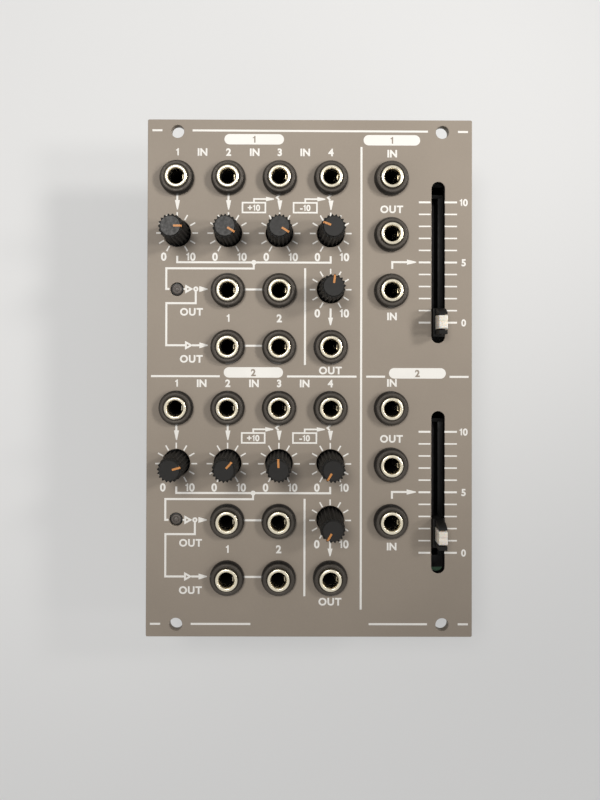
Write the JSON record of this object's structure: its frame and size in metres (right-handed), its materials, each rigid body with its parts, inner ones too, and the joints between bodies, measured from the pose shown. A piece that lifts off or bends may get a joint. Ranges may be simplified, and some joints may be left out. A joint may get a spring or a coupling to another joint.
{
  "type": "eurorack module",
  "caption": "Rectangular front panel with rows of patch jacks, ribbed knobs and slide faders, backed by stacked circuit boards with a shrouded power header.",
  "frame": {"origin": "under the middle of the front panel, at the mouth of the power header on the back", "axes": "+X right and +Y up as seen from the front, +Z out of the front panel"},
  "size_m": [0.0808, 0.1284, 0.0399],
  "materials": {
    "panel_paint": "matte warm grey paint",
    "panel_print": "white screen print",
    "jack_plastic": "black moulding",
    "jack_metal": "nickel plate",
    "knob_plastic": "satin black",
    "pointer_paint": "orange paint",
    "pot_case": "pressed tinned steel",
    "led_lens": "smoked clear",
    "fader_case": "black moulding",
    "fader_clear": "milky clear",
    "saddle_plastic": "satin black",
    "solder_mask": "green solder mask",
    "chip_plastic": "black epoxy",
    "solder_metal": "tinned",
    "link_plastic": "black moulding",
    "spacer_brass": "nickel plated brass",
    "header_plastic": "black moulding"
  },
  "bodies": {
    "root": {"front_panel": "panel_paint", "control_board": "solder_mask", "main_board": "solder_mask", "board_link_1": "link_plastic", "board_link_2": "link_plastic", "board_spacer_1": "spacer_brass", "board_spacer_2": "spacer_brass", "power_header": "header_plastic", "mixer_1_in_jack_1": "jack_plastic", "mixer_1_in_jack_2": "jack_plastic", "mixer_1_in_jack_3": "jack_plastic", "mixer_1_in_jack_4": "jack_plastic", "mixer_1_inverted_out_jack_1": "jack_plastic", "mixer_1_inverted_out_jack_2": "jack_plastic", "mixer_1_out_jack_1": "jack_plastic", "mixer_1_out_jack_2": "jack_plastic", "mixer_1_voltage_out_jack": "jack_plastic", "glide_1_in_jack": "jack_plastic", "glide_1_out_jack": "jack_plastic", "glide_1_control_jack": "jack_plastic", "mixer_2_in_jack_1": "jack_plastic", "mixer_2_in_jack_2": "jack_plastic", "mixer_2_in_jack_3": "jack_plastic", "mixer_2_in_jack_4": "jack_plastic", "mixer_2_inverted_out_jack_1": "jack_plastic", "mixer_2_inverted_out_jack_2": "jack_plastic", "mixer_2_out_jack_1": "jack_plastic", "mixer_2_out_jack_2": "jack_plastic", "mixer_2_voltage_out_jack": "jack_plastic", "glide_2_in_jack": "jack_plastic", "glide_2_out_jack": "jack_plastic", "glide_2_control_jack": "jack_plastic", "mixer_1_level_1_pot": "pot_case", "mixer_1_level_2_pot": "pot_case", "mixer_1_level_3_pot": "pot_case", "mixer_1_level_4_pot": "pot_case", "mixer_1_offset_pot": "pot_case", "mixer_2_level_1_pot": "pot_case", "mixer_2_level_2_pot": "pot_case", "mixer_2_level_3_pot": "pot_case", "mixer_2_level_4_pot": "pot_case", "mixer_2_offset_pot": "pot_case", "mixer_1_led": "led_lens", "mixer_2_led": "led_lens", "glide_1_fader_body": "fader_case", "glide_2_fader_body": "fader_case"},
    "mixer_1_level_1_knob": {"mixer_1_level_1_knob": "knob_plastic"},
    "mixer_1_level_2_knob": {"mixer_1_level_2_knob": "knob_plastic"},
    "mixer_1_level_3_knob": {"mixer_1_level_3_knob": "knob_plastic"},
    "mixer_1_level_4_knob": {"mixer_1_level_4_knob": "knob_plastic"},
    "mixer_1_offset_knob": {"mixer_1_offset_knob": "knob_plastic"},
    "mixer_2_level_1_knob": {"mixer_2_level_1_knob": "knob_plastic"},
    "mixer_2_level_2_knob": {"mixer_2_level_2_knob": "knob_plastic"},
    "mixer_2_level_3_knob": {"mixer_2_level_3_knob": "knob_plastic"},
    "mixer_2_level_4_knob": {"mixer_2_level_4_knob": "knob_plastic"},
    "mixer_2_offset_knob": {"mixer_2_offset_knob": "knob_plastic"},
    "glide_1_fader": {"glide_1_fader_lever": "fader_clear", "glide_1_fader_saddle": "saddle_plastic"},
    "glide_2_fader": {"glide_2_fader_lever": "fader_clear", "glide_2_fader_saddle": "saddle_plastic"}
  },
  "joints": [
    {"name": "mixer_1_level_1_turn", "type": "hinge", "parent": "root", "child": "mixer_1_level_1_knob", "pos_m": [-0.03305, 0.03587, 0.0302], "axis": [0, 0, -1], "range_deg": [-240, 60]},
    {"name": "mixer_1_level_2_turn", "type": "hinge", "parent": "root", "child": "mixer_1_level_2_knob", "pos_m": [-0.0203, 0.03587, 0.0302], "axis": [0, 0, -1], "range_deg": [-271.6, 28.4]},
    {"name": "mixer_1_level_3_turn", "type": "hinge", "parent": "root", "child": "mixer_1_level_3_knob", "pos_m": [-0.00755, 0.03587, 0.0302], "axis": [0, 0, -1], "range_deg": [-271.6, 28.4]},
    {"name": "mixer_1_level_4_turn", "type": "hinge", "parent": "root", "child": "mixer_1_level_4_knob", "pos_m": [0.0052, 0.03587, 0.0302], "axis": [0, 0, -1], "range_deg": [-83, 217]},
    {"name": "mixer_1_offset_turn", "type": "hinge", "parent": "root", "child": "mixer_1_offset_knob", "pos_m": [0.0052, 0.02187, 0.0302], "axis": [0, 0, -1], "range_deg": [-157, 143]},
    {"name": "mixer_2_level_1_turn", "type": "hinge", "parent": "root", "child": "mixer_2_level_1_knob", "pos_m": [-0.03305, -0.02128, 0.0302], "axis": [0, 0, -1], "range_deg": [-225, 75]},
    {"name": "mixer_2_level_2_turn", "type": "hinge", "parent": "root", "child": "mixer_2_level_2_knob", "pos_m": [-0.0203, -0.02128, 0.0302], "axis": [0, 0, -1], "range_deg": [-193, 107]},
    {"name": "mixer_2_level_3_turn", "type": "hinge", "parent": "root", "child": "mixer_2_level_3_knob", "pos_m": [-0.00755, -0.02128, 0.0302], "axis": [0, 0, -1], "range_deg": [-148, 152]},
    {"name": "mixer_2_level_4_turn", "type": "hinge", "parent": "root", "child": "mixer_2_level_4_knob", "pos_m": [0.0052, -0.02128, 0.0302], "axis": [0, 0, -1], "range_deg": [0, 300]},
    {"name": "mixer_2_offset_turn", "type": "hinge", "parent": "root", "child": "mixer_2_offset_knob", "pos_m": [0.0052, -0.03528, 0.0302], "axis": [0, 0, -1], "range_deg": [0, 300]},
    {"name": "glide_1_slide", "type": "slide", "parent": "root", "child": "glide_1_fader", "axis": [0, 1, 0], "range_m": [0, 0.03]},
    {"name": "glide_2_slide", "type": "slide", "parent": "root", "child": "glide_2_fader", "axis": [0, 1, 0], "range_m": [-0.0051, 0.0249]}
  ]
}
